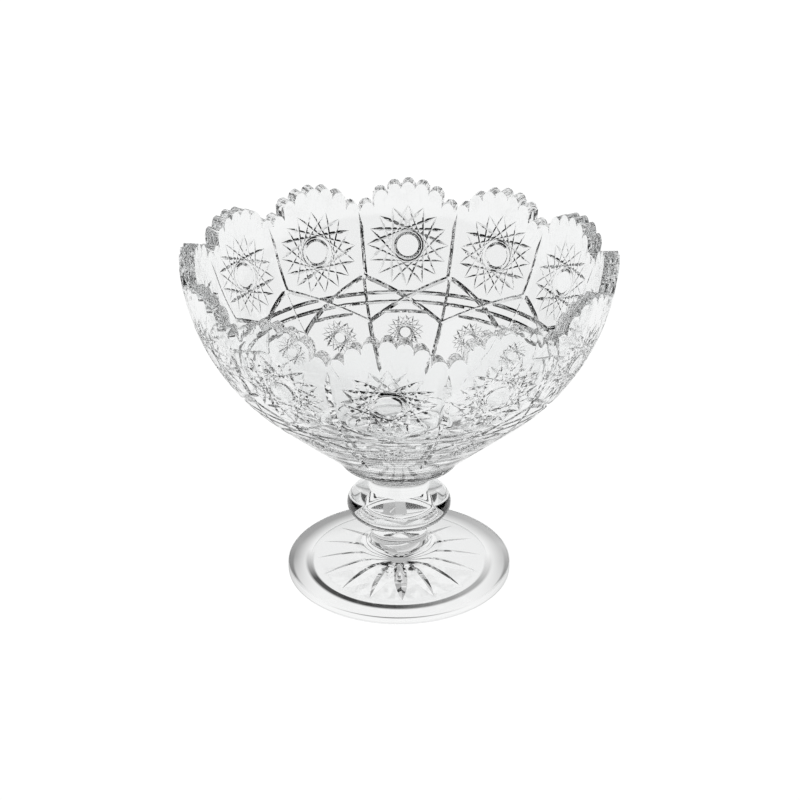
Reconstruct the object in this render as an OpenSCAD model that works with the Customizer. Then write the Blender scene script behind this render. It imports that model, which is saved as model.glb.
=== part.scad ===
// Footed dessert cup of clear pressed glass.
// A ball-shaped bowl with a scalloped, toothed rim stands on a collar, a knopped stem and a round foot.
// Millimetres, +Z up, origin at the middle of the plane that the foot rests on, one panel facing -Y.

/* [Bowl] */
// Outer radius of the ball that the upper wall of the bowl follows
ball_r = 60; // [50:0.5:72]
// Thickness of the glass at the rim
wall = 4.2; // [3:0.1:8]
// Thickness of the glass under the middle of the bowl
floor_t = 8.2; // [5:0.1:14]
// How far the tips of the rim stay below the middle of the ball
rim_drop = 2.5; // [0:0.1:10]
// Lean of the straight flank below the ball, measured from the axis
flank_angle = 49; // [40:0.5:58]
// Angle of the faint crease where the flank leaves the ball
flank_crease = 2; // [1:0.5:6]

/* [Rim] */
// Panels round the bowl, each under a scallop of its own
panels = 12; // [8:1:16]
// Teeth along each scallop
teeth = 7; // [3:2:9]
// Height of the middle tooth of a scallop over the end teeth
scallop_rise = 6; // [3:0.25:9]
// Depth of the groove between two teeth, below the round top of a tooth
tooth_groove = 1.7; // [0.8:0.1:1.9]
// Width of the flat at the bottom of that groove
tooth_flat = 0.3; // [0.2:0.1:1]
// Width of the notch between two scallops
notch_w = 1; // [0.5:0.1:3]
// Depth of the notch below the grooves beside it
notch_cut = 0.7; // [0.3:0.1:2]

/* [Cuts between the panels] */
// Width of the upright mitre cut between two panels
bar_w = 2.1; // [1:0.1:3]
// Depth of that cut
bar_d = 0.9; // [0.3:0.1:1.2]
// Distance from the notch down to the cut's upper end
bar_gap = 2; // [1:0.1:4]
// Angle below the level of the ball's middle, at the cut's lower end
bar_dip = 29.4; // [27:0.1:29.5]
// Length of the pointed cut on the flank, below each notch
leaf_l = 17; // [10:0.5:18]
// Width of the pointed cut at its middle
leaf_w = 1.6; // [0.8:0.1:2.5]
// Depth of the pointed cut at its middle
leaf_d = 0.9; // [0.3:0.1:1.2]
// Height of the pointed cut's middle over the bowl's base
leaf_h = 13.5; // [12:0.5:14]

/* [Crossed band] */
// Width of the level cuts of the band
band_w = 1.3; // [0.6:0.1:2]
// Depth of the level cuts
band_d = 0.8; // [0.3:0.1:1]
// Angle of the upper level cut below the level of the ball's middle
band_dip = 36.1; // [35:0.1:37]
// Angle between the upper and the lower level cut
band_step = 2.9; // [2:0.1:3.5]
// Angle of the level top of the lower panels
lintel_dip = 41.9; // [40:0.1:43]
// Share of a panel that the level top of a lower panel takes
lintel_share = 0.6; // [0.4:0.05:0.7]
// Width of the slanted cuts that cross on each panel
cross_w = 1.5; // [0.8:0.1:2]
// Depth of the slanted cuts
cross_d = 0.9; // [0.3:0.1:1]
// Angle of the crossing below the level of the ball's middle
cross_dip = 37.7; // [36:0.1:39]
// Slant of the cuts where they cross
cross_slant = 31; // [25:0.5:35]
// Bend of the slanted cuts round the ball
cross_bend = 43; // [30:0.5:50]
// Reach of the slanted cuts round that bend, upwards from the crossing
cross_up = 21; // [18:0.5:24]
// Reach of the slanted cuts downwards from the crossing
cross_down = 18.5; // [16:0.5:21]
// Width of the thin level cut above the bowl's base
hem_w = 1; // [0.5:0.1:2]
// Depth of the thin level cut
hem_d = 0.5; // [0.2:0.1:0.8]
// Height of the thin level cut over the bowl's base
hem_h = 3; // [2:0.1:5]

/* [Stars on the panels] */
// Points of each star
star_points = 16; // [12:2:20]
// Points that each straight side of a star skips
star_skip = 6; // [5:1:6]
// How deep the stars are sunk round their plain buttons
star_d = 0.3; // [0.2:0.05:0.6]
// Radius of the upper stars
star_r = 12; // [9:0.1:12.5]
// Radius of the plain round button in an upper star
button_r = 3.9; // [2:0.1:4.2]
// Angle of the upper stars' middles below the level of the ball's middle
star_dip = 22.2; // [21:0.1:23]
// Size of the lower stars, as a share of the upper ones
small_star = 0.47; // [0.35:0.01:0.5]
// Angle of the lower stars' middles below the level of the ball's middle
small_dip = 48.7; // [48:0.1:49.5]

/* [Collar] */
// Height of the collar between the stem and the bowl
collar_h = 7; // [6.5:0.1:12]
// Height of the collar's upright edge
collar_edge = 1.9; // [1:0.1:3]
// How far the bowl's base stands out past the collar
collar_reveal = 0.8; // [0.2:0.1:3]
// Radius of the hollow curve between the neck and the collar
collar_flare = 4; // [2:0.1:4.5]

/* [Stem] */
// Radius of the neck above the knop
neck_r = 8.8; // [6:0.1:11]
// Height of the neck above the knop
neck_h = 3.9; // [2:0.1:8]
// Radius of the waist below the knop
waist_r = 8.2; // [6:0.1:11]
// Height of the waist below the knop
waist_h = 2.7; // [1:0.1:8]
// Largest radius of the knop
knop_r = 15; // [13:0.1:20]
// Rounding of the knop's edge
knop_edge_r = 3.6; // [2:0.1:5]
// Radius of the knop's domed top and underside
crown_r = 27; // [24:0.5:40]

/* [Foot] */
// Largest radius of the foot
foot_r = 32.5; // [28:0.5:45]
// Height from the table to the seat of the stem
foot_h = 14; // [13:0.1:20]
// Thickness of the foot's rounded edge
foot_edge_t = 3.4; // [2:0.1:5]
// Radius of the foot's domed top
dome_r = 150; // [100:5:300]
// Radius of the hollow curve between the foot and the waist
foot_flare = 6.5; // [3:0.1:7]
// Width of the flat ring that the foot rests on
rest_w = 5.1; // [3:0.1:8]
// Depth of the hollow under the foot
hollow_d = 1; // [0.5:0.1:1.6]

/* [Star under the foot] */
// Rays of the star
rays = 16; // [8:1:20]
// Plain border between the star and the edge of the hollow
ray_border = 1.1; // [0.5:0.1:4]
// Distance from the axis to the inner tips of the rays
ray_in = 2.2; // [2:0.1:5]
// Depth of a ray at its middle
ray_d = 1.3; // [0.5:0.1:1.8]
// Angle between the two sides of a ray
ray_angle = 110; // [80:1:115]
// Half the angle of the ridge left between the wide ends of two rays
ray_ridge = 0.3; // [0.2:0.1:2]
// How far the star is turned against the bowl's panels
star_turn = 5; // [-11:0.5:11]

/* [Hidden] */
$fn = 128;
glass = [0.88, 0.92, 0.93];
// Room that a cutting shape reaches past the glass
over = 1;

// Foot: middle of the rounded edge, middle of the domed top, and the hollow curve under the waist
edge_r = foot_edge_t / 2;
edge_c = foot_r - edge_r;
dome_z = edge_r - sqrt(pow(dome_r - edge_r, 2) - pow(edge_c, 2));
foot_flare_c = waist_r + foot_flare;
foot_flare_z = dome_z + sqrt(pow(dome_r + foot_flare, 2) - pow(foot_flare_c, 2));
hollow_r = edge_c - rest_w;

// Star: the mitre wheel that cuts one ray, as long as the ray at the hollow's ceiling
ray_out = hollow_r - hollow_d - ray_border;
ray_mid = (ray_in + ray_out) / 2;
ray_half = (ray_out - ray_in) / 2;
wheel_r = (pow(ray_half, 2) + pow(ray_d, 2)) / (2 * ray_d);
wheel_w = wheel_r * tan(ray_angle / 2);

// Stem: middle of the knop's rounded edge, and where the domes meet the neck and the waist
knop_c = knop_r - knop_edge_r;
crown_d = sqrt(pow(crown_r - knop_edge_r, 2) - pow(knop_c, 2));
knop_up = sqrt(pow(crown_r, 2) - pow(neck_r, 2)) - crown_d;
knop_down = sqrt(pow(crown_r, 2) - pow(waist_r, 2)) - crown_d;
knop_z = foot_h + waist_h + knop_down;
collar_z = knop_z + knop_up + neck_h;

// Bowl: middle of the ball, where the flank leaves it, and the flat base
base_z = collar_z + collar_h;
inner_r = ball_r - wall;
ball_z = base_z + floor_t + inner_r;
flank_r = ball_r * cos(flank_angle + flank_crease);
flank_z = ball_z - ball_r * sin(flank_angle + flank_crease);
base_r = flank_r - (flank_z - base_z) * tan(flank_angle);
collar_r = base_r - collar_reveal;

// Pointed cut on the flank: the mitre wheel that leaves it, and where the wheel's middle stands
leaf_wheel_r = (pow(leaf_l / 2, 2) + pow(leaf_d, 2)) / (2 * leaf_d);
leaf_out = leaf_wheel_r - leaf_d;
leaf_c = base_r + leaf_h * tan(flank_angle) + leaf_out * cos(flank_angle);
leaf_z = base_z + leaf_h - leaf_out * sin(flank_angle);

// Rim: the panels share the bowl evenly, and the teeth of each follow an arc
rim_z = ball_z - rim_drop;
panel_w = 2 * ball_r * sin(180 / panels);
tooth_pitch = (panel_w - notch_w) / teeth;
tooth_r = (tooth_pitch - tooth_flat) / 2;
end_tooth = (teeth - 1) / 2;
scallop_half = end_tooth * tooth_pitch;
scallop_r = (pow(scallop_half, 2) + pow(scallop_rise, 2)) / (2 * scallop_rise);
notch_z = rim_z - scallop_rise - tooth_groove - notch_cut;
gap_h = rim_z - notch_z + 2 * over;
bar_high = asin((ball_z - notch_z + bar_gap) / ball_r);

// Height of the tip of a tooth, at a place along the scallop
function tip_z(x) = rim_z - scallop_r + sqrt(pow(scallop_r, 2) - pow(x, 2));

// A domed half profile with a rounded edge: the dome's middle is d below the edge's middle
module crown(dome, d, edge, c) {
    reach = 2 * edge / dome;
    intersection() {
        translate([0, -d]) circle(dome);
        polygon([[0, 0], [c, 0], [c * (1 + reach), d * reach], [c, dome], [0, dome]]);
    }
}

module foot_profile() {
    flare_reach = dome_r / (dome_r + foot_flare);
    difference() {
        union() {
            translate([edge_c, edge_r]) circle(edge_r);
            square([edge_c, edge_r]);
            translate([0, edge_r]) crown(dome_r, edge_r - dome_z, edge_r, edge_c);
            square([waist_r, foot_h]);
            difference() {
                polygon([
                    [0, edge_r],
                    [foot_flare_c * flare_reach, dome_z + (foot_flare_z - dome_z) * flare_reach],
                    [foot_flare_c, foot_flare_z],
                    [0, foot_flare_z]
                ]);
                translate([foot_flare_c, foot_flare_z]) circle(foot_flare);
            }
        }
        polygon([
            [0, -over], [hollow_r, -over], [hollow_r, 0],
            [hollow_r - hollow_d, hollow_d], [0, hollow_d]
        ]);
    }
}

// One ray of the star, as a mitre wheel leaves it, kept to its own share of the circle
module ray() {
    share = 180 / rays - ray_ridge;
    reach = ray_out + over;
    intersection() {
        translate([ray_mid, 0, hollow_d + ray_d - wheel_r])
            rotate([90, 0, 0])
                rotate_extrude() polygon([[0, -wheel_w], [wheel_r, 0], [0, wheel_w]]);
        linear_extrude(hollow_d + ray_d + over)
            polygon([[0, 0], reach * [1, -tan(share)], reach * [1, tan(share)]]);
    }
}

module foot() {
    color(glass)
        difference() {
            rotate_extrude() foot_profile();
            for (i = [0 : rays - 1])
                rotate([0, 0, i * 360 / rays - 90 + star_turn]) ray();
        }
}

module stem_profile() {
    translate([0, foot_h]) square([waist_r, knop_z - foot_h]);
    translate([0, knop_z]) square([neck_r, collar_z - knop_z]);
    translate([0, knop_z]) {
        translate([knop_c, 0]) circle(knop_edge_r);
        crown(crown_r, crown_d, knop_edge_r, knop_c);
        mirror([0, 1]) crown(crown_r, crown_d, knop_edge_r, knop_c);
    }
}

module stem() {
    color(glass) rotate_extrude() stem_profile();
}

module collar_profile() {
    under = collar_h - collar_edge;
    square([neck_r, collar_h]);
    translate([0, under]) square([collar_r, collar_edge]);
    difference() {
        translate([0, under - collar_flare]) square([neck_r + collar_flare, collar_flare]);
        translate([neck_r + collar_flare, under - collar_flare]) circle(collar_flare);
    }
}

module collar() {
    color(glass) translate([0, 0, collar_z]) rotate_extrude() collar_profile();
}

// A mitre cut across a profile, at a distance out from the origin: its sides carry on past the glass
module mitre(r, w, d) {
    side = w / 2 * (d + over) / d;
    polygon([[r - d, 0], [r + over, -side], [r + over, side]]);
}

module bowl_profile() {
    lap = ball_r * sin(flank_crease) * cos(flank_angle);
    difference() {
        union() {
            intersection() {
                translate([0, ball_z]) circle(ball_r);
                translate([0, base_z]) square([ball_r + over, rim_z + over - base_z]);
            }
            polygon([
                [0, base_z], [base_r, base_z],
                [flank_r + lap * tan(flank_angle), flank_z + lap],
                [0, flank_z + lap]
            ]);
        }
        translate([0, ball_z]) circle(inner_r);
        for (dip = [band_dip, band_dip + band_step])
            translate([0, ball_z]) rotate(-dip) mitre(ball_r, band_w, band_d);
        translate([base_r + hem_h * tan(flank_angle), base_z + hem_h])
            rotate(-flank_angle) mitre(0, hem_w, hem_d);
    }
}

// The teeth of one scallop, seen from outside the bowl: round ridges on a stair of blocks
module panel_teeth() {
    block_w = tooth_pitch + tooth_flat / 2;
    for (i = [-end_tooth : end_tooth]) {
        x = i * tooth_pitch;
        top = tip_z(x) - tooth_groove;
        translate([x, tip_z(x) - tooth_r]) circle(tooth_r);
        translate([x - block_w / 2, notch_z - over]) square([block_w, top - notch_z + over]);
    }
}

// The space above one scallop, kept to its own share of the rim, short of the middles of the notches
module rim_gap() {
    half = 180 / panels - asin(notch_w / 4 / ball_r);
    reach = 2 * ball_r;
    intersection() {
        translate([0, -ball_r / 2, 0])
            rotate([90, 0, 0])
                linear_extrude(ball_r)
                    difference() {
                        translate([-panel_w, notch_z + notch_cut / 2]) square([2 * panel_w, gap_h]);
                        panel_teeth();
                    }
        translate([0, 0, notch_z])
            linear_extrude(gap_h + over)
                polygon([[0, 0], reach * [-tan(half), -1], reach * [tan(half), -1]]);
    }
}

// The notch between two scallops
module notch() {
    rotate([0, 0, 180 / panels])
        translate([-notch_w / 2, -1.5 * ball_r, notch_z]) cube([notch_w, ball_r, gap_h]);
}

// A stretch of a mitre cut round the Z axis, at an angle below the level of the ball's middle
module ball_cut(dip, w, d, from, to) {
    rotate([0, 0, from])
        rotate_extrude(angle = to - from)
            rotate(-dip) mitre(ball_r, w, d);
}

// The cuts between two panels: an upright one on the ball, and a pointed one on the flank
module divider() {
    translate([0, 0, ball_z])
        rotate([0, 90, 0]) ball_cut(0, bar_w, bar_d, bar_high - 90, bar_dip - 90);
    leaf_turn = asin((leaf_l / 2 + over) / leaf_wheel_r);
    translate([0, -leaf_c, leaf_z])
        rotate([0, 90, 0])
            rotate([0, 0, 90 + flank_angle - leaf_turn])
                rotate_extrude(angle = 2 * leaf_turn)
                    translate([leaf_wheel_r, 0])
                        mirror([1, 0]) mitre(0, leaf_w, leaf_d);
}

// One of the two slanted cuts that cross in the middle of a panel and run just past its sides
module slanted(lean) {
    half = (cross_up + cross_down) / 2;
    middle = -90 + lean * (cross_down - cross_up) / 2;
    translate([0, 0, ball_z])
        rotate([cross_dip, 0, 0])
            rotate([0, lean * cross_slant, 0])
                rotate([-cross_bend, 0, 0])
                    ball_cut(cross_bend, cross_w, cross_d, middle - half, middle + half);
}

// The level top of a lower panel, between the slanted cuts
module lintel() {
    half = lintel_share * 180 / panels;
    translate([0, 0, ball_z]) ball_cut(lintel_dip, band_w, band_d, -90 - half, -90 + half);
}

// A star sunk into the ball round a plain button
module star(dip, size) {
    valley = cos(star_skip * 180 / star_points) / cos((star_skip - 1) * 180 / star_points);
    translate([0, 0, ball_z])
        rotate([90 + dip, 0, 0])
            difference() {
                linear_extrude(ball_r + over)
                    polygon([
                        for (k = [0 : 2 * star_points - 1])
                            let (r = size * star_r * (k % 2 == 0 ? 1 : valley), a = k * 180 / star_points)
                                r * [cos(a), sin(a)]
                    ]);
                sphere(ball_r - star_d);
                cylinder(h = ball_r + 2 * over, r = size * button_r);
            }
}

module bowl() {
    color(glass)
        difference() {
            rotate_extrude() bowl_profile();
            for (i = [0 : panels - 1])
                rotate([0, 0, i * 360 / panels]) {
                    rim_gap();
                    notch();
                    rotate([0, 0, 180 / panels]) divider();
                    slanted(-1);
                    slanted(1);
                    lintel();
                    star(star_dip, 1);
                    star(small_dip, small_star);
                }
        }
}

foot();
stem();
collar();
bowl();
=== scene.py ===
import math
import bpy
import numpy as np
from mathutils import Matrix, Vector
from mathutils.geometry import delaunay_2d_cdt


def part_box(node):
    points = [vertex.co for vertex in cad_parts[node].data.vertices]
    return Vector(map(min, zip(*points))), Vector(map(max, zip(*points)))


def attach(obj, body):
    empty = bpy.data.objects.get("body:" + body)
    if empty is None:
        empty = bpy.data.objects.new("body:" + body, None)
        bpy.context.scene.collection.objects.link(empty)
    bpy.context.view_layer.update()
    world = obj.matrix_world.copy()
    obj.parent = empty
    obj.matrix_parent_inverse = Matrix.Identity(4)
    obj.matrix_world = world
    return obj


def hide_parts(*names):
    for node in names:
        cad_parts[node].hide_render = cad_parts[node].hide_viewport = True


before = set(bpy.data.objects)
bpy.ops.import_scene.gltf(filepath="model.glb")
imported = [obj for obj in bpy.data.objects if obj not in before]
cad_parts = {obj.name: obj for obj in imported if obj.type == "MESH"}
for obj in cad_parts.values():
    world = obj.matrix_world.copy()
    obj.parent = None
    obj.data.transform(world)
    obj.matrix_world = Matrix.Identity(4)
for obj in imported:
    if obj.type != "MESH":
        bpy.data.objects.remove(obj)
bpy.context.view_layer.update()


# Foot: a round foot of clear pressed glass, with an upright edge and a domed top that flares up to the waist.
# The hollow under it holds a star of sixteen mitre cuts, and it stands on the flat ring outside the hollow.
class Wire:
    """One socket of a node tree: operators add Math nodes, and node adds a node of any other kind."""

    def __init__(self, tree, socket=None):
        self.tree, self.socket = tree, socket

    def node(self, kind, settings=(), feeds=(), out=0):
        made = self.tree.nodes.new(kind)
        for key, value in dict(settings).items():
            setattr(made, key, value)
        for key, value in dict(feeds).items():
            if isinstance(value, Wire):
                self.tree.links.new(value.socket, made.inputs[key])
            else:
                made.inputs[key].default_value = value
        return Wire(self.tree, made.outputs[out])

    def outlets(self):
        """Every output of this socket's node, by name."""
        return {s.name: Wire(self.tree, s) for s in self.socket.node.outputs}

    def ends_in(self, kind, inlet="Surface"):
        """Links this socket to a new output node of its tree."""
        self.tree.links.new(self.socket, self.tree.nodes.new(kind).inputs[inlet])

    def maths(self, operation, first, second):
        return self.node("ShaderNodeMath", {"operation": operation}, {0: first, 1: second})

    def __add__(self, other):
        return self.maths("ADD", self, other)

    def __radd__(self, other):
        return self.maths("ADD", other, self)

    def __sub__(self, other):
        return self.maths("SUBTRACT", self, other)

    def __rsub__(self, other):
        return self.maths("SUBTRACT", other, self)

    def __mul__(self, other):
        return self.maths("MULTIPLY", self, other)

    def __rmul__(self, other):
        return self.maths("MULTIPLY", other, self)


def ramp(value, low, high, first=0.0, last=1.0):
    """A value that runs from first to last while another runs from low to high."""
    return value.node("ShaderNodeMapRange", (), {"Value": value, "From Min": low, "From Max": high,
                                                 "To Min": first, "To Max": last})


def new_material(name):
    material = bpy.data.materials.new(name)
    material.use_nodes = True
    material.node_tree.nodes.clear()
    return material, Wire(material.node_tree)


def pressed_glass(name, ripple_size, ripple):
    """Clear pressed glass, fire-polished: soft ripples from the mould and faint handling marks."""
    ripple_height, marks_scale, most_haze, glass_ior = 0.0004, 90.0, 0.02, 1.5
    tint, shadow_tint = (0.985, 0.992, 0.992, 1.0), (0.96, 0.965, 0.965, 1.0)
    material, start = new_material(name)
    place = start.node("ShaderNodeTexCoord", out="Object")
    waves = start.node("ShaderNodeTexNoise", {"noise_dimensions": "3D"},
                       {"Vector": place, "Scale": 1 / ripple_size, "Detail": 1.0, "Roughness": 0.4})
    skin = start.node("ShaderNodeBump", (),
                      {"Strength": ripple, "Distance": ripple_height, "Height": waves}, out="Normal")
    marks = start.node("ShaderNodeTexNoise", (),
                       {"Vector": place, "Scale": marks_scale, "Detail": 5.0, "Roughness": 0.7})
    haze = ramp(marks, 0.45, 0.8, 0.0, most_haze)
    glass = start.node("ShaderNodeBsdfPrincipled", (), {
        "Base Color": tint, "Roughness": haze, "Normal": skin, "IOR": glass_ior, "Transmission Weight": 1.0})
    clear = start.node("ShaderNodeBsdfTransparent", (), {"Color": shadow_tint})
    to_lamp = start.node("ShaderNodeLightPath", out="Is Shadow Ray")
    both = start.node("ShaderNodeMixShader", (), {0: to_lamp, 1: glass, 2: clear})
    both.ends_in("ShaderNodeOutputMaterial")
    return material


# where two pieces of hot glass have run together, no surface is left between them
joint, start = new_material("fused_joint")
weld = start.node("ShaderNodeBsdfPrincipled", (), {"Alpha": 0.0, "IOR": 1.0})
weld.ends_in("ShaderNodeOutputMaterial")


def arc(cx, cz, radius, start, stop, steps):
    """Points along an arc, angles in degrees from the outward level."""
    return [(cx + radius * math.cos(math.radians(a)), cz + radius * math.sin(math.radians(a)))
            for a in np.linspace(start, stop, steps + 1)]


def turned(rows, angles, whole):
    """Points in mm and faces of a turned profile over the given angles, outside to the left of the path."""
    points, faces, rings = [], [], []
    for r, z in rows:
        if r == 0:
            rings.append([len(points)] * len(angles))
            points.append((0.0, 0.0, z))
        else:
            rings.append(list(range(len(points), len(points) + len(angles))))
            points += [(r * math.cos(a), r * math.sin(a), z) for a in angles]
    count = len(angles)
    for low, high in zip(rings, rings[1:]):
        for i in range(count if whole else count - 1):
            j = (i + 1) % count
            corners = [low[i], high[i], high[j], low[j]]
            corners = [c for k, c in enumerate(corners) if c not in corners[:k]]
            if len(corners) > 2:
                faces.append(corners)
    return points, faces


def in_joint(corners, height, radius):
    """Whether a face lies flat at the height of a joint and inside its radius."""
    return all(abs(z - height) < 1e-6 and math.hypot(x, y) < radius + 1e-6 for x, y, z in corners)


def skin_mesh(name, points, faces, *materials):
    """A mesh of points that are given in mm."""
    mesh = bpy.data.meshes.new(name)
    mesh.from_pydata([tuple(0.001 * c for c in p) for p in points], [], faces)
    for material in materials:
        mesh.materials.append(material)
    return mesh


def add_object(name, mesh):
    thing = bpy.data.objects.new(name, mesh)
    bpy.context.collection.objects.link(thing)
    return thing


def finish_piece(name, mesh, crease):
    """The piece made of a mesh: smooth, but for edges that turn by more than the crease, in degrees."""
    mesh.name = name
    mesh.polygons.foreach_set("use_smooth", [True] * len(mesh.polygons))
    mesh.set_sharp_from_angle(angle=math.radians(crease))
    return add_object(name, mesh)


def set_round():
    """Geometry Nodes tree that sets a share of a round piece in a ring, welds the copies and glazes them."""
    tree = bpy.data.node_groups.new("set_round", "GeometryNodeTree")
    inlets = {"Share": "Geometry", "Copies": "Int", "First": "Float", "Weld": "Float",
              "Glass": "Material", "Joint": "Material"}
    for label, kind in inlets.items():
        tree.interface.new_socket(label, in_out="INPUT", socket_type="NodeSocket" + kind)
    tree.interface.new_socket("Piece", in_out="OUTPUT", socket_type="NodeSocketGeometry")
    start = Wire(tree)
    sizes = start.node("NodeGroupInput").outlets()
    spots = start.node("GeometryNodePoints", (), {"Count": sizes["Copies"]})
    step = start.maths("DIVIDE", 2 * math.pi, sizes["Copies"])
    turn = start.node("GeometryNodeInputIndex") * step + sizes["First"]
    facing = start.node("ShaderNodeCombineXYZ", (), {"Z": turn})
    copies = start.node("GeometryNodeInstanceOnPoints", (),
                        {"Points": spots, "Instance": sizes["Share"], "Rotation": facing})
    real = start.node("GeometryNodeRealizeInstances", (), {"Geometry": copies})
    welded = start.node("GeometryNodeMergeByDistance", (), {"Geometry": real, "Distance": sizes["Weld"]})
    glazed = start.node("GeometryNodeSetMaterial", (), {"Geometry": welded, "Material": sizes["Glass"]})
    flag = start.node("GeometryNodeInputNamedAttribute", {"data_type": "BOOLEAN"}, {"Name": "fused"})
    done = start.node("GeometryNodeSetMaterial", (),
                      {"Geometry": glazed, "Selection": flag, "Material": sizes["Joint"]})
    done.ends_in("NodeGroupOutput", "Piece")
    return tree


round_tree = set_round()
weld_distance = 4e-6


def all_round(name, points, faces, fused, copies, first, glass, crease):
    """Sets one share of a piece all round and keeps the result as one plain mesh."""
    mesh = skin_mesh("share", points, faces, glass)
    mesh.attributes.new("fused", "BOOLEAN", "FACE").data.foreach_set("value", fused)
    mesh.validate()
    share = add_object("share", mesh)
    setter = share.modifiers.new("set_round", "NODES")
    setter.node_group = round_tree
    sizes = {"Copies": copies, "First": first, "Weld": weld_distance, "Glass": glass, "Joint": joint}
    for socket in round_tree.interface.items_tree:
        if socket.name in sizes:
            setter[socket.identifier] = sizes[socket.name]
    whole = share.evaluated_get(bpy.context.evaluated_depsgraph_get())
    mesh = bpy.data.meshes.new_from_object(whole)
    share.modifiers.remove(setter)
    bpy.data.objects.remove(share)
    return finish_piece(name, mesh, crease)


def cross(a, b):
    """Cross product of places on a flat chart."""
    return a[..., 0] * b[..., 1] - a[..., 1] * b[..., 0]


def within(spots, outline):
    """Which places lie inside an outline."""
    inside = np.zeros(len(spots), bool)
    for a, b in zip(outline, np.roll(outline, -1, 0)):
        crosses = (a[1] > spots[:, 1]) != (b[1] > spots[:, 1])
        with np.errstate(divide="ignore", invalid="ignore"):
            x = a[0] + (spots[:, 1] - a[1]) * (b[0] - a[0]) / (b[1] - a[1])
        inside ^= crosses & (spots[:, 0] < x)
    return inside


def triangulate(points, edges, outline):
    """Constrained triangles of a flat outline with creases, turned the same way; close points are merged.
    A belt of spare points outside keeps thin slivers off the straight sides."""
    belt_size, close = 1.2, 0.002
    outline = np.array(outline)
    middle = (outline.min(0) + outline.max(0)) / 2
    belt = [tuple(p) for p in middle + (outline - middle) * belt_size]
    spots = [Vector(p) for p in list(points) + belt]
    where, _, faces, _, _, _ = delaunay_2d_cdt(spots, edges, [], 0, close, False)
    flat = np.array([(p.x, p.y) for p in where])
    faces = np.array([list(f) for f in faces])
    a, b, c = (flat[faces[:, k]] for k in range(3))
    turned_over = cross(b - a, c - a) < 0
    faces[turned_over] = faces[turned_over][:, ::-1]
    faces = faces[within((a + b + c) / 3, outline)]
    used, faces = np.unique(faces, return_inverse=True)
    return flat[used], [tuple(f) for f in faces.reshape(-1, 3)]


def chain(points, edges, path, closed=False):
    """Adds a path to a list of points and edges."""
    first = len(points)
    points += [tuple(p) for p in path]
    edges += [(first + i, first + i + 1) for i in range(len(path) - 1)]
    if closed:
        edges.append((first + len(path) - 1, first))


def add_under(points, faces, more, more_faces):
    """Adds a skin to a share, turned over because the glass lies on its other side."""
    first = len(points)
    points += [tuple(p) for p in more]
    faces += [tuple(first + c for c in reversed(f)) for f in more_faces]


foot_low, foot_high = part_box("foot")
foot_r, foot_h = 500 * (foot_high[0] - foot_low[0]), 1000 * foot_high[2]
waist_r, edge_r, dome_r, foot_flare, corner_r = 8.2, 1.7, 150.0, 6.5, 0.8
edge_c, corner_c, flare_c = foot_r - edge_r, foot_r - corner_r, waist_r + foot_flare
dome_z = edge_r - math.sqrt((dome_r - edge_r) ** 2 - edge_c ** 2)
flare_z = dome_z + math.sqrt((dome_r + foot_flare) ** 2 - flare_c ** 2)
corner_z = dome_z + math.sqrt((dome_r - corner_r) ** 2 - corner_c ** 2)
dome_top = math.degrees(math.atan2(flare_z - dome_z, flare_c))
dome_edge = math.degrees(math.atan2(corner_z - dome_z, corner_c))
rest_mid, hollow_r, hollow_d, step_in, step_up = edge_c - 2.5, 25.7, 1.0, 0.15, 0.85
ceiling_r = hollow_r - hollow_d
rays, ray_in, ray_out, ray_d, ray_angle = 16, 2.2, 23.6, 1.3, 110
ray_lean = math.tan(math.radians(ray_angle / 2))
ray_mid, ray_half, ray_share = (ray_in + ray_out) / 2, (ray_out - ray_in) / 2, math.pi / rays
wheel_r = (ray_half ** 2 + ray_d ** 2) / (2 * ray_d)
share_steps, ray_steps, first_ray = 12, 40, math.radians(-85)

upper = [(0.0, foot_h), (waist_r * 0.5, foot_h), (waist_r, foot_h), (waist_r, (foot_h + flare_z) / 2)]
upper += arc(flare_c, flare_z, foot_flare, 180, 180 + dome_top, 24)
upper += arc(0, dome_z, dome_r, dome_top, dome_edge, 24)[1:]
upper += arc(corner_c, corner_z, corner_r, dome_edge, 0, 10)[1:]
upper += arc(corner_c, corner_r, corner_r, 0, -90, 10)
upper += [(rest_mid, 0.0), (hollow_r, 0.0), (hollow_r - step_in, step_up), (ceiling_r, hollow_d)]
columns = np.linspace(-ray_share, ray_share, share_steps + 1)
points, faces = turned(upper, columns, whole=False)
fused = [in_joint([points[c] for c in f], foot_h, waist_r) for f in faces]


def ray_cut(x, y):
    """How deep the star's mitre wheel goes into the ceiling of the hollow at a place."""
    radius = wheel_r - np.abs(y) / ray_lean
    return np.sqrt(np.maximum(radius ** 2 - (x - ray_mid) ** 2, 0)) - (wheel_r - ray_d)


flat, edges = [], []
side_x, side_y = math.cos(ray_share), math.sin(ray_share)
rim_arc = [(ceiling_r * math.cos(a), ceiling_r * math.sin(a)) for a in columns]
left = [(r * side_x, r * side_y) for r in np.linspace(ceiling_r, 0, share_steps + 1)[1:]]
right = [(r * side_x, -r * side_y) for r in np.linspace(0, ceiling_r, share_steps + 1)[1:-1]]
chain(flat, edges, rim_arc + left + right, closed=True)
outline = list(flat)
along = ray_mid - ray_half * np.cos(np.linspace(0, math.pi, ray_steps + 1))
wide = (wheel_r - np.sqrt((wheel_r - ray_d) ** 2 + (along - ray_mid) ** 2)) * ray_lean
for across in (wide, -wide, 0 * wide):
    chain(flat, edges, list(zip(along, across)))
where, below = triangulate(flat, edges, outline)
deep = np.maximum(ray_cut(where[:, 0], where[:, 1]), 0)
deep[(where[:, 0] < ray_in - 1e-4) | (where[:, 0] > ray_out + 1e-4)] = 0
add_under(points, faces, [(x, y, hollow_d + d) for (x, y), d in zip(where, deep)], below)
fused += [False] * len(below)
foot_glass = pressed_glass("foot_glass", ripple_size=0.012, ripple=0.05)
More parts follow.
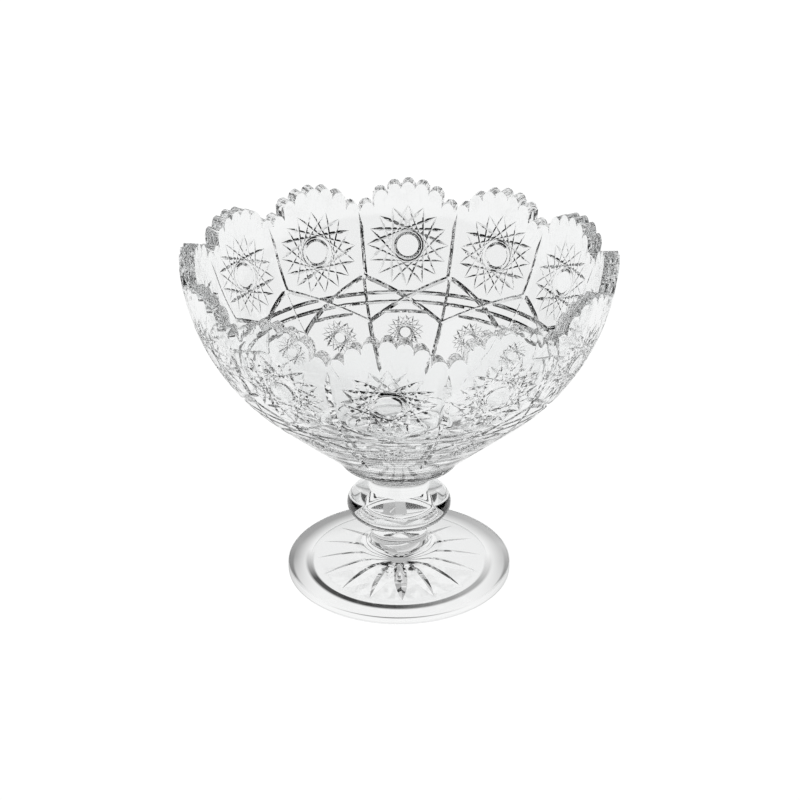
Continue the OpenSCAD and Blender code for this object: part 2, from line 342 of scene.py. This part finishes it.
foot = all_round("foot_glass_piece", points, faces, fused, rays, first_ray, foot_glass, crease=30)
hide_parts("foot")
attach(foot, "root")


# Stem: a short waist, a flattened ball and a neck, turned in one piece of hot glass.
# It is fused to the foot below it and to the collar above it.
stem_low, stem_high = (1000 * np.array(c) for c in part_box("stem"))
stem_z, stem_top = stem_low[2], stem_high[2]
knop_r, neck_r, knop_edge_r, crown_r = stem_high[0], 8.8, 3.6, 27.0
waist_h, waist_mid, neck_mid = 2.7, 1.3, 2.0
knop_c = knop_r - knop_edge_r
crown_d = math.sqrt((crown_r - knop_edge_r) ** 2 - knop_c ** 2)
knop_z = stem_z + waist_h + math.sqrt(crown_r ** 2 - waist_r ** 2) - crown_d
crown_edge = math.degrees(math.atan2(crown_d, knop_c))
crown_waist = math.degrees(math.acos(waist_r / crown_r))
crown_neck = math.degrees(math.acos(neck_r / crown_r))
rows = [(0.0, stem_z), (waist_r * 0.5, stem_z), (waist_r, stem_z), (waist_r, stem_z + waist_mid)]
rows += arc(0, knop_z + crown_d, crown_r, -crown_waist, -crown_edge, 12)
rows += arc(knop_c, knop_z, knop_edge_r, -crown_edge, crown_edge, 40)[1:]
rows += arc(0, knop_z - crown_d, crown_r, crown_edge, crown_neck, 12)[1:]
rows += [(neck_r, stem_top - neck_mid), (neck_r, stem_top), (neck_r * 0.5, stem_top), (0.0, stem_top)]
round_steps = 192
ring = np.linspace(0, 2 * math.pi, round_steps + 1)[:-1]


def lathe_piece(name, rows, glass, joints, crease):
    """A whole turned piece, its profile given from the bottom up, and each joint by height and radius."""
    points, faces = turned(rows, ring, whole=True)
    mesh = skin_mesh(name, points, [f[::-1] for f in faces], glass, joint)
    for face in mesh.polygons:
        corners = [points[c] for c in face.vertices]
        face.material_index = int(any(in_joint(corners, *seat) for seat in joints))
    return finish_piece(name, mesh, crease)


stem_glass = pressed_glass("stem_glass", ripple_size=0.007, ripple=0.06)
stem = lathe_piece("stem_glass_piece", rows, stem_glass, [(stem_z, waist_r), (stem_top, neck_r)], crease=25)
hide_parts("stem")
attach(stem, "root")


# Collar: the wafer of glass between the neck and the bowl, with an upright edge and a hollow curve under it.
# It is dropped on hot, which fuses it to both and leaves the corners of its edge rounded.
collar_low, collar_high = (1000 * np.array(c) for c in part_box("collar"))
collar_z, collar_top = collar_low[2], collar_high[2]
collar_r, collar_edge, collar_flare, collar_round = collar_high[0], 1.9, 4.0, 0.45
under, round_c = collar_top - collar_edge, collar_r - collar_round
rows = [(0.0, collar_z), (neck_r * 0.5, collar_z), (neck_r, collar_z)]
rows += arc(neck_r + collar_flare, under - collar_flare, collar_flare, 180, 90, 24)
rows += arc(round_c, under + collar_round, collar_round, -90, 0, 6)
rows += arc(round_c, collar_top - collar_round, collar_round, 0, 60, 6)
rows += [(round_c, collar_top), (collar_r * 0.5, collar_top), (0.0, collar_top)]
collar_glass = pressed_glass("collar_glass", ripple_size=0.006, ripple=0.08)
collar = lathe_piece("collar_glass_piece", rows, collar_glass,
                     [(collar_z, neck_r), (collar_top, collar_r)], crease=35)
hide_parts("collar")
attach(collar, "root")


# Bowl: a ball-shaped bowl of pressed glass with twelve panels, each under a toothed scallop of the rim.
# Its outside has mitred bars, a crossed band and two rows of sixteen-point stars, and its inside is smooth.
# One panel's outside is drawn on a flat chart, where the pattern is a set of sloping faces, and then wrapped.
bowl_low, bowl_high = (1000 * np.array(c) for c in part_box("bowl"))
base_z, rim_z = bowl_low[2], bowl_high[2]
ball_r, wall, rim_drop, flank_angle, flank_crease = 60.0, 4.2, 2.5, 49.0, 2.0
ball_z, inner_r = rim_z + rim_drop, ball_r - wall
flank, bend = math.radians(flank_angle), math.radians(flank_angle + flank_crease)
bend_z = ball_z - ball_r * math.sin(bend)
base_r = ball_r * math.cos(bend) - (bend_z - base_z) * math.tan(flank)
panels, teeth = 12, 7
half_panel = math.pi / panels
tooth_groove, tooth_flat, notch_w, notch_cut, scallop_rise = 1.7, 0.3, 1.0, 0.7, 6.0
panel_w = 2 * ball_r * math.sin(half_panel)
pitch = (panel_w - notch_w) / teeth
tooth_r = (pitch - tooth_flat) / 2
scallop_half = pitch * (teeth - 1) / 2
scallop_r = (scallop_half ** 2 + scallop_rise ** 2) / (2 * scallop_rise)
notch_z = rim_z - scallop_rise - tooth_groove - notch_cut
star_z = 79.3
star_tilt = math.asin((ball_z - star_z) / ball_r)


def outer_dip(z):
    """Dip of the outside of the bowl at a height, on the ball or on the flank."""
    r = math.sqrt(max(ball_r ** 2 - (ball_z - z) ** 2, 0))
    if z < bend_z:
        r = base_r + (z - base_z) * math.tan(flank)
    return math.atan2(ball_z - z, r)


def chart(phi, dip):
    """Place on a panel's flat chart: seen from the middle of the ball, square to the big star's middle."""
    ahead = np.cos(dip) * np.cos(phi) * math.cos(star_tilt) + np.sin(dip) * math.sin(star_tilt)
    across = np.cos(dip) * np.sin(phi)
    up = np.cos(dip) * np.cos(phi) * math.sin(star_tilt) - np.sin(dip) * math.cos(star_tilt)
    return np.stack([ball_r * across / ahead, ball_r * up / ahead], -1)


def wrap(flat, depth):
    """From the chart to the outside of the bowl, cut in by the given depth."""
    x, y = flat[:, 0] / ball_r, flat[:, 1] / ball_r
    scale = np.sqrt(1 + x ** 2 + y ** 2)
    east = x / scale
    front = (math.cos(star_tilt) + y * math.sin(star_tilt)) / scale
    down = (math.sin(star_tilt) - y * math.cos(star_tilt)) / scale
    dip = np.arcsin(down)
    lean = np.where(dip > bend, np.cos(dip - flank), 1.0)
    reach = np.where(dip > bend, ball_r * math.cos(math.radians(flank_crease)) / lean, ball_r)
    reach = reach - depth / lean
    return np.stack([reach * east, -reach * front, ball_z - reach * down], -1)


def scallop():
    """Outline of one toothed scallop from notch to notch, as azimuth and height."""
    line = []
    edge_x = panel_w / 2 - notch_w / 2 / math.cos(half_panel)
    block = pitch / 2 + tooth_flat / 4
    spread = math.asin(math.sqrt(tooth_r ** 2 - (tooth_r - tooth_groove) ** 2) / tooth_r)
    for i in range(-(teeth // 2), teeth // 2 + 1):
        x = i * pitch
        tip = rim_z - scallop_r + math.sqrt(scallop_r ** 2 - x ** 2)
        left_x = x - block if i <= 0 else x - pitch + block
        right_x = x + block if i >= 0 else x + pitch - block
        line += [(left_x, tip - tooth_groove)]
        line += [(x + tooth_r * math.sin(a), tip - tooth_r + tooth_r * math.cos(a))
                 for a in np.linspace(-spread, spread, 11)]
        line += [(right_x, tip - tooth_groove)]
    groove_z = line[0][1]
    line = [(-edge_x, notch_z), (-edge_x, groove_z)] + line[1:-1] + [(edge_x, groove_z), (edge_x, notch_z)]
    turns = [(math.asin(x / math.sqrt(ball_r ** 2 - (ball_z - z) ** 2)), z) for x, z in line]
    return [(-half_panel, notch_z)] + turns + [(half_panel, notch_z)]


def split_long(path, longest):
    """The same path with extra points where a step is long."""
    out = [path[0]]
    for a, b in zip(path, path[1:]):
        n = max(1, math.ceil(math.dist(a, b) / longest))
        out += [tuple(np.array(a) + (np.array(b) - np.array(a)) * k / n) for k in range(1, n + 1)]
    return out


def unit(step):
    return step / np.linalg.norm(step)


class Cut:
    """One sloping face of the cut pattern: a flat patch on the chart and the plane of its depth."""

    def __init__(self, corners, plane):
        self.corners, self.plane = corners, plane
        self.low, self.high = corners.min(0), corners.max(0)

    def sides(self):
        return zip(self.corners, np.roll(self.corners, -1, 0))

    def depth(self, spots):
        return spots @ self.plane[:2] + self.plane[2]

    def holds(self, spots, slack=1e-5):
        inside = np.ones(len(spots), bool)
        for a, b in self.sides():
            inside &= cross(b - a, spots - a) >= -slack * np.linalg.norm(b - a)
        return inside


def sloping(corners, depths):
    """The face through corners on the chart, with the depth at each."""
    corners, depths = np.array(corners), np.array(depths)
    if cross(corners[1] - corners[0], corners[2] - corners[0]) <= 0:
        corners, depths = corners[::-1], depths[::-1]
    table = np.column_stack([corners, np.ones(len(corners))])
    return Cut(corners, np.linalg.lstsq(table, depths, rcond=None)[0])


def mitre(path, half, depth, tapers=(0.0, 0.0), closed=False):
    """A V-shaped cut along a path on the chart, pointed at an end that has a taper."""
    path = [np.array(p, float) for p in path]
    tips = []
    for taper, end, inner in zip(tapers, (0, -1), (1, -2)):
        if taper:
            tips.append((path[end], end))
            path[end] = path[end] + unit(path[inner] - path[end]) * taper
    count = len(path)
    sides, sharpest = [], 0.3
    for i in range(count):
        before = unit(path[i] - path[i - 1] if closed or i else path[1] - path[0])
        after = unit(path[(i + 1) % count] - path[i] if closed or i < count - 1 else path[i] - path[i - 1])
        mid = unit(before + after)
        across = np.array([-mid[1], mid[0]])
        sides.append(across / max(np.dot(across, [-after[1], after[0]]), sharpest))
    cuts = []
    for i in range(count if closed else count - 1):
        j = (i + 1) % count
        for s in (half, -half):
            cuts.append(sloping([path[i], path[j], path[j] + s * sides[j], path[i] + s * sides[i]],
                                [depth, depth, 0, 0]))
    for tip, end in tips:
        for s in (half, -half):
            cuts.append(sloping([tip, path[end], path[end] + s * sides[end]], [0, depth, 0]))
    return cuts


def circle(middle, radius, steps, stretch=(1.0, 1.0)):
    return [(middle[0] + radius * math.cos(a) * stretch[0], middle[1] + radius * math.sin(a) * stretch[1])
            for a in np.linspace(0, 2 * math.pi, steps + 1)[:-1]]


def star(middle, radius, half, depth, taper, stretch=(1.0, 1.0)):
    """A star of straight cuts, each from one tip to another a few tips on."""
    points, skip = 16, 6
    tips = circle(middle, radius, points, stretch)
    cuts = []
    for k in range(points):
        cuts += mitre([tips[k], tips[(k + skip) % points]], half, depth, (taper, taper))
    return cuts


def at(share, z):
    """A place on the chart: share of the half panel, and height."""
    return tuple(chart(share * half_panel, outer_dip(z)))


def level(z, steps):
    """A level line right across a panel."""
    return [tuple(p) for p in chart(np.linspace(-half_panel, half_panel, steps + 1), outer_dip(z))]


def slanted(side, reach):
    """A slanted cut's place on the chart, by the angle round its bend from where a panel's two cross."""
    cross_dip, cross_slant, cross_bend = 37.7, 31, 43
    dip, slant, bow = (math.radians(a) for a in (cross_dip, cross_slant * side, cross_bend))
    x, y, z = math.cos(bow) * math.sin(reach), -math.cos(bow) * math.cos(reach), -math.sin(bow)
    y, z = y * math.cos(bow) + z * math.sin(bow), z * math.cos(bow) - y * math.sin(bow)
    x, z = x * math.cos(slant) + z * math.sin(slant), z * math.cos(slant) - x * math.sin(slant)
    y, z = y * math.cos(dip) - z * math.sin(dip), z * math.cos(dip) + y * math.sin(dip)
    return tuple(chart(math.atan2(x, -y), math.asin(-z)))


big_middle, big_r, button_r = (0.0, 0.0), 12.9, 3.8
cuts = star(big_middle, big_r, half=0.54, depth=0.44, taper=3.0)
cuts += mitre(circle(big_middle, button_r, steps=40), half=0.45, depth=0.56, closed=True)
for side in (-1, 1):
    bar = [at(side, z) for z in (89.5, 84, 78, 71.3)]
    thin_line = [at(side, z) for z in (72.0, 66, 59.0)]
    leaf = [at(side, z) for z in (60.5, 54, 46.5)]
    slant = [slanted(side, a) for a in np.radians(side * np.linspace(-18, 20, 9))]
    cuts += mitre(bar, half=1.3, depth=0.92, tapers=(5.0, 0.0))
    cuts += mitre(thin_line, half=0.5, depth=0.6)
    cuts += mitre(leaf, half=0.8, depth=0.95, tapers=(2.0, 3.0))
    cuts += mitre(slant, half=0.75, depth=0.82)
lintel_z, lintel_share, band_zs, hem_z = 61.9, 0.6, (66.6, 64.2), 41.0
lintel = [at(share, lintel_z) for share in (-lintel_share, 0, lintel_share)]
cuts += mitre(lintel, half=0.6, depth=0.75)
for band_z in band_zs:
    cuts += mitre(level(band_z, steps=10), half=0.65, depth=0.72)
small_middle, small_r, small_button_r, stretch = at(0, 56.9), 5.8, 1.95, (1.11, 1.24)
small_button = circle(small_middle, small_button_r, steps=28, stretch=stretch)
cuts += star(small_middle, small_r, half=0.36, depth=0.3, taper=1.6, stretch=stretch)
cuts += mitre(small_button, half=0.34, depth=0.46, closed=True)
cuts += mitre(level(hem_z, steps=8), half=0.5, depth=0.5)

side_top, side_foot, in_panel = at(1, notch_z), at(1, base_z), np.array([0.0, -20.0])


def trimmed(cut, hair=1e-9, speck=1e-5):
    """The part of a cut that lies on this panel, or None."""
    corners = [tuple(c) for c in cut.corners]
    for s in (-1, 1):
        a = np.array([s * side_top[0], side_top[1]])
        b = np.array([s * side_foot[0], side_foot[1]])
        normal = np.array([(b - a)[1], -(b - a)[0]])
        normal = normal * np.sign(np.dot(normal, in_panel - a))
        kept = []
        for p, q in zip(np.array(corners), np.roll(corners, -1, 0)):
            dp, dq = np.dot(normal, p - a), np.dot(normal, q - a)
            if dp >= -hair:
                kept.append(tuple(p))
            if (dp > hair and dq < -hair) or (dp < -hair and dq > hair):
                kept.append(tuple(p + (q - p) * dp / (dp - dq)))
        corners = kept
        if len(corners) < 3:
            return None
    area = 0.5 * sum(a[0] * b[1] - a[1] * b[0] for a, b in zip(corners, corners[1:] + corners[:1]))
    return Cut(np.array(corners if area > 0 else corners[::-1]), cut.plane) if abs(area) >= speck else None


cuts = [c for c in map(trimmed, cuts) if c is not None]


def deepest(spots, margin=1e-4):
    """Depth of the whole pattern at places on the chart."""
    out = np.zeros(len(spots))
    for cut in cuts:
        near = np.all((spots >= cut.low - margin) & (spots <= cut.high + margin), 1)
        if near.any():
            held = near.copy()
            held[near] = cut.holds(spots[near])
            out[held] = np.maximum(out[held], cut.depth(spots[held]))
    return out


def in_patch(a, b, cut):
    """The stretch of the segment a to b that lies on a cut, as two shares, or None."""
    low, high = 0.0, 1.0
    for p, q in cut.sides():
        from_a, from_b = cross(q - p, a - p), cross(q - p, b - p)
        if from_a < 0 and from_b < 0:
            return None
        if from_a < 0:
            low = max(low, from_a / (from_a - from_b))
        elif from_b < 0:
            high = min(high, from_a / (from_a - from_b))
    return (low, high) if high - low > 1e-6 else None


def meeting(one, other, far_off=30):
    """The line along which two cuts are equally deep, as its ends and one of the cuts, or None."""
    if np.any(one.low > other.high) or np.any(other.low > one.high):
        return None
    slope = one.plane - other.plane
    size = np.linalg.norm(slope[:2])
    if size < 1e-6:
        return None
    base = -slope[:2] * slope[2] / size ** 2
    run = np.array([-slope[1], slope[0]]) / size
    middle = np.dot((one.low + one.high) / 2 - base, run)
    p, q = base + run * (middle - far_off), base + run * (middle + far_off)
    for cut in (one, other):
        shares = in_patch(p, q, cut)
        if shares is None:
            return None
        p, q = p + (q - p) * shares[0], p + (q - p) * shares[1]
    return p, q, one


lines = [(p, q, cut) for cut in cuts for p, q in cut.sides()]
for k, one in enumerate(cuts):
    lines += [line for line in (meeting(one, other) for other in cuts[k + 1:]) if line is not None]

# of all these lines, only the stretches that no deeper cut takes away are creases
sample_step, tie = 0.06, 2e-4
samples, depths = [], []
for p, q, cut in lines:
    count = max(2, math.ceil(np.linalg.norm(q - p) / sample_step))
    share = (np.arange(count) + 0.5) / count
    samples.append(p + (q - p) * share[:, None])
    depths.append(cut.depth(samples[-1]))
live = np.concatenate(depths) >= deepest(np.concatenate(samples)) - tie
stops = np.cumsum([len(part) for part in samples])[:-1]
creases = []
for (p, q, _), flags in zip(lines, np.split(live, stops)):
    runs = np.flatnonzero(np.diff(np.concatenate([[0], flags, [0]]))).reshape(-1, 2)
    creases += [(p + (q - p) * a / len(flags), p + (q - p) * b / len(flags)) for a, b in runs]


def filler(flat, outline, wide, high, step, row_step, clear):
    """Staggered rows of points inside an outline, clear of the points that are already on the chart."""
    spots = np.array([(x + row % 2 * step / 2, y) for row, y in enumerate(np.arange(*high, row_step))
                      for x in np.arange(*wide, step)])
    spots = spots[within(spots, outline)]
    taken = np.array(flat)
    gap = np.array([np.min(np.hypot(*(taken - s).T)) for s in spots])
    return [tuple(s) for s in spots[gap > clear]]


base_steps, flank_z = 16, 56
side_heights = np.concatenate([np.linspace(notch_z, flank_z, 24), np.linspace(flank_z, base_z, 12)[1:]])
rim_path = split_long([tuple(chart(a, outer_dip(z))) for a, z in scallop()], longest=1.6)
right_side = [at(1, z) for z in side_heights[1:]]
base_line = [at(share, base_z) for share in np.linspace(1, -1, base_steps + 1)[1:]]
left_side = [(-x, y) for x, y in reversed(right_side[:-1])]
flat, edges = [], []
chain(flat, edges, rim_path + right_side + base_line + left_side, closed=True)
outline = np.array(flat)
for p, q in creases:
    chain(flat, edges, split_long([tuple(p), tuple(q)], longest=1.8))
flat += filler(flat, outline, (-20, 20), (-70, 30), step=2.2, row_step=1.9, clear=0.8)
where, outside = triangulate(flat, edges, outline)
points = [tuple(p) for p in wrap(where, deepest(where))]
faces = list(outside)

# the top of the rim, level from the outside to the inside
outer_rim = wrap(np.array(rim_path), np.zeros(len(rim_path)))
inner_rim = []
for x, y, z in outer_rim:
    scale = math.sqrt(inner_r ** 2 - (ball_z - z) ** 2) / math.hypot(x, y)
    inner_rim.append((x * scale, y * scale, z))
first, count = len(points), len(inner_rim)
points += [tuple(p) for p in outer_rim] + inner_rim
faces += [(first + i, first + i + 1, first + count + i + 1, first + count + i) for i in range(count - 1)]

# the smooth inside, laid out flat from the bottom of the bowl
flat, edges, inner_flat = [], [], []
for x, y, z in inner_rim:
    away, turn = math.pi / 2 - math.asin((ball_z - z) / inner_r), math.atan2(x, -y)
    inner_flat.append((inner_r * away * math.sin(turn), inner_r * away * math.cos(turn)))
far = math.hypot(*inner_flat[-1])
side_x, side_y, side_steps = math.sin(half_panel), math.cos(half_panel), 32
right_side = [(far * s * side_x, far * s * side_y) for s in np.linspace(1, 0, side_steps + 1)[1:]]
left_side = [(-x, y) for x, y in reversed(right_side[:-1])]
chain(flat, edges, inner_flat + right_side + left_side, closed=True)
outline = np.array(flat)
flat += filler(flat, outline, (-26, 26), (0, 90), step=2.6, row_step=2.3, clear=0.9)
where, inside = triangulate(flat, edges, outline)
away = np.hypot(where[:, 0], where[:, 1]) / inner_r
turn = np.arctan2(where[:, 0], where[:, 1])
hollow = np.stack([np.sin(away) * np.sin(turn), -np.sin(away) * np.cos(turn), -np.cos(away)], -1)
add_under(points, faces, hollow * inner_r + (0.0, 0.0, ball_z), inside)

# the flat base, fused to the collar
fused = [False] * len(faces)
turns = np.linspace(-half_panel, half_panel, base_steps + 1) - math.pi / 2
disc, disc_faces = turned([(0.0, base_z), (collar_r, base_z), (base_r, base_z)], turns, whole=False)
add_under(points, faces, disc, disc_faces)
fused += [in_joint([disc[c] for c in f], base_z, collar_r) for f in disc_faces]
bowl_glass = pressed_glass("bowl_glass", ripple_size=0.02, ripple=0.03)
bowl = all_round("bowl_glass_piece", points, faces, fused, panels, 0.0, bowl_glass, crease=18)
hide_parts("bowl")
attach(bowl, "root")


# Stage: a white floor that runs to a pale horizon, under a soft lamp and a darker studio.
# Soft light comes from high on the left and from behind at mid height, and the camera sees plain white.
# The glass also sees painted shade on the floor: a dark card painted in front, a painted shadow of the foot,
# and painted contact shade under its ring and edge.
floor_white, start = new_material("floor_white")
floor_points, floor_faces = turned([(r, 0.0) for r in (0.0, 400.0, 1500.0, 6000.0)], ring, whole=True)
floor = add_object("floor", skin_mesh("floor", floor_points, floor_faces, floor_white))


def band(value, rise, fall):
    """One between two soft edges, and nought outside them."""
    return ramp(value, *rise) * ramp(value, *fall, 1.0, 0.0)


ways = start.node("ShaderNodeLightPath").outlets()
in_glass = start.maths("MAXIMUM", ways["Is Glossy Ray"], ways["Is Transmission Ray"])
place = start.node("ShaderNodeTexCoord", out="Object")
x, y, z = start.node("ShaderNodeSeparateXYZ", (), {"Vector": place}).outlets().values()
far = start.node("ShaderNodeVectorMath", {"operation": "LENGTH"}, {0: place}, out="Value")
lean_right, lean_left = 2.4, -0.3
# painted shade: a dark card painted on the floor in front of the foot, which only the glass sees
painted_card_back, painted_card_front, painted_card_left = (0.032, 0.049), (-0.13, -0.1), (-0.13, -0.1)
aside = start.maths("MAXIMUM", x * lean_right, x * lean_left)
painted_dark_card = ramp(-1 * y - aside, *painted_card_back) * ramp(y, *painted_card_front) * ramp(x, *painted_card_left)
# painted shadow of the cup on the floor round the foot, behind it and darker on the left, seen only through
# the glass
painted_foot_shadow = band(far, (0.026, 0.030), (0.034, 0.05)) * ramp(y, -0.02, 0.0) * ramp(x, -0.03, 0.03, 0.55, 0.35)
# painted contact shade: a dark line on the floor under the inner edge of the foot's resting ring, at the
# front, seen only through the glass
painted_ring_shade = band(far, (0.0244, 0.0250), (0.0264, 0.0272)) * ramp(y, -0.012, 0.004, 1.0, 0.0)
# painted contact shade: a dark line on the floor under the foot's outer edge, at the front, seen only through
# the glass
painted_edge_shade = band(far, (0.0302, 0.0308), (0.0318, 0.0326)) * ramp(y, -0.01, 0.01, 1.0, 0.0)
# how dark the painted contact shade lines are, the ring's line darker on the left; then the floor's even
# brightness to the glass and to the camera
painted_ring_darkness, painted_edge_darkness, floor_seen, floor_shown = ramp(x, 0.0, 0.02, 0.94, 0.55), 0.75, 0.93, 1.12
# the floor as the glass sees it: even white, less the painted card, the painted shadow and the painted
# contact shade
seen = floor_seen * (1 - painted_dark_card) * (1 - painted_foot_shadow) * (1 - painted_ring_shade * painted_ring_darkness) * (1 - painted_edge_shade * painted_edge_darkness)
plain = ramp(far, 0.25, 0.6, 0.8, 1.0)
shown = ways["Is Camera Ray"]
strength = shown * floor_shown + in_glass * seen
matt = start.node("ShaderNodeBsdfDiffuse", (), {"Color": (0.9, 0.9, 0.9, 1.0)})
glow = start.node("ShaderNodeEmission", (), {"Color": (1.0, 1.0, 1.0, 1.0), "Strength": strength})
both = start.node("ShaderNodeMixShader", (), {0: shown * plain + in_glass, 1: matt, 2: glow})
both.ends_in("ShaderNodeOutputMaterial")

world = bpy.data.worlds.new("studio")
bpy.context.scene.world = world
world.use_nodes = True
world.node_tree.nodes.clear()
start = Wire(world.node_tree)
place = start.node("ShaderNodeTexCoord", out="Generated")
x, y, z = start.node("ShaderNodeSeparateXYZ", (), {"Vector": place}).outlets().values()
high_left = ramp(z, 0.76, 0.81, 0.0, 0.5) * ramp(x, -0.4, -0.1, 1.0, 0.0)
behind = ramp(y, 0.5, 0.7, 0.0, 0.6) * band(z, (0.32, 0.38), (0.7, 0.75))
horizon = ramp(z, 0.06, 0.1, 1.0, 0.0)
lit = start.maths("MAXIMUM", high_left, start.maths("MAXIMUM", behind, horizon))
studio = start.node("ShaderNodeBackground", (), {"Strength": lit})
white = start.node("ShaderNodeBackground", (), {"Color": (1.0, 1.0, 1.0, 1.0), "Strength": 1.0})
to_camera = start.node("ShaderNodeLightPath", out="Is Camera Ray")
both = start.node("ShaderNodeMixShader", (), {0: to_camera, 1: studio, 2: white})
both.ends_in("ShaderNodeOutputWorld")

lamp_data = bpy.data.lights.new("soft_box", "AREA")
lamp_data.shape = "DISK"
lamp_data.size = 0.7
lamp_data.energy = 9.0
lamp = add_object("soft_box", lamp_data)
lamp.location = (-0.25, -0.1, 1.1)
lamp.rotation_euler = Vector((0.25, 0.1, -1.05)).to_track_quat("-Z", "Y").to_euler()
lamp.visible_glossy = False
lamp.visible_transmission = False

camera_data = bpy.data.cameras.new("camera")
camera_data.lens = 88.39
camera_data.sensor_width = 36.0
camera_data.shift_x = 0.00125
camera = add_object("camera", camera_data)
aim = Vector((0.0, 0.0, 0.05432))
turn, tilt, away = math.radians(2.79), math.radians(26.07), 0.55549
ahead = Vector((math.sin(turn) * math.cos(tilt), -math.cos(turn) * math.cos(tilt), math.sin(tilt)))
camera.location = aim + away * ahead
camera.rotation_euler = (aim - camera.location).to_track_quat("-Z", "Y").to_euler()
scene = bpy.context.scene
scene.camera = camera
scene.view_settings.view_transform = "Standard"
scene.cycles.max_bounces = 40
scene.cycles.transmission_bounces = 40
scene.cycles.glossy_bounces = 12
scene.cycles.transparent_max_bounces = 24
